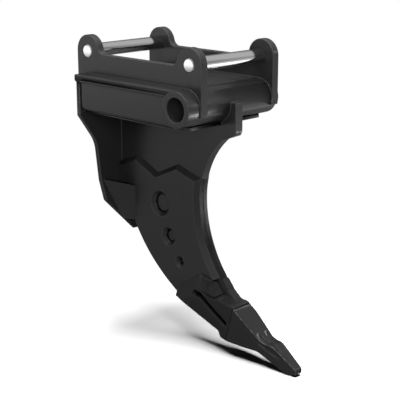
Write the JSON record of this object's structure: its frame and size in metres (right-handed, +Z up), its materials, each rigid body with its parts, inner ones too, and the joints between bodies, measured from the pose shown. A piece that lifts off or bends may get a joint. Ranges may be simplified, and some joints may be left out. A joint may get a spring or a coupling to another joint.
{
  "type": "excavator ripper",
  "caption": "Pin-on excavator ripper: hitch ears with pins on a welded torsion box, a curved shank with cheek plates, and a cast adapter with a replaceable tooth.",
  "frame": {"origin": "on the front hitch pin's axis, midway between the two ears", "axes": "+X forward, the way the tooth points; +Y left, along the hitch pins; +Z up, from the tooth towards the hitch"},
  "size_m": [0.7969, 0.374, 0.9312],
  "materials": {
    "black_paint": "satin",
    "pin_chrome": "polished",
    "adapter_cast": "satin, over a cast surface",
    "tooth_cast": "satin, over a cast surface",
    "lock_steel": "plain"
  },
  "bodies": {
    "root": {"ear_right": "black_paint", "ear_left": "black_paint", "front_pin": "pin_chrome", "rear_pin": "pin_chrome", "top_plate": "black_paint", "side_rail_right": "black_paint", "side_rail_left": "black_paint", "bottom_plate_right": "black_paint", "bottom_plate_left": "black_paint", "cross_tube": "black_paint", "back_plate": "black_paint", "shank": "black_paint", "cheek_right": "black_paint", "cheek_left": "black_paint", "gusset_right": "black_paint", "gusset_left": "black_paint", "adapter": "adapter_cast", "tooth": "tooth_cast", "tooth_pin": "lock_steel"}
  },
  "joints": []
}
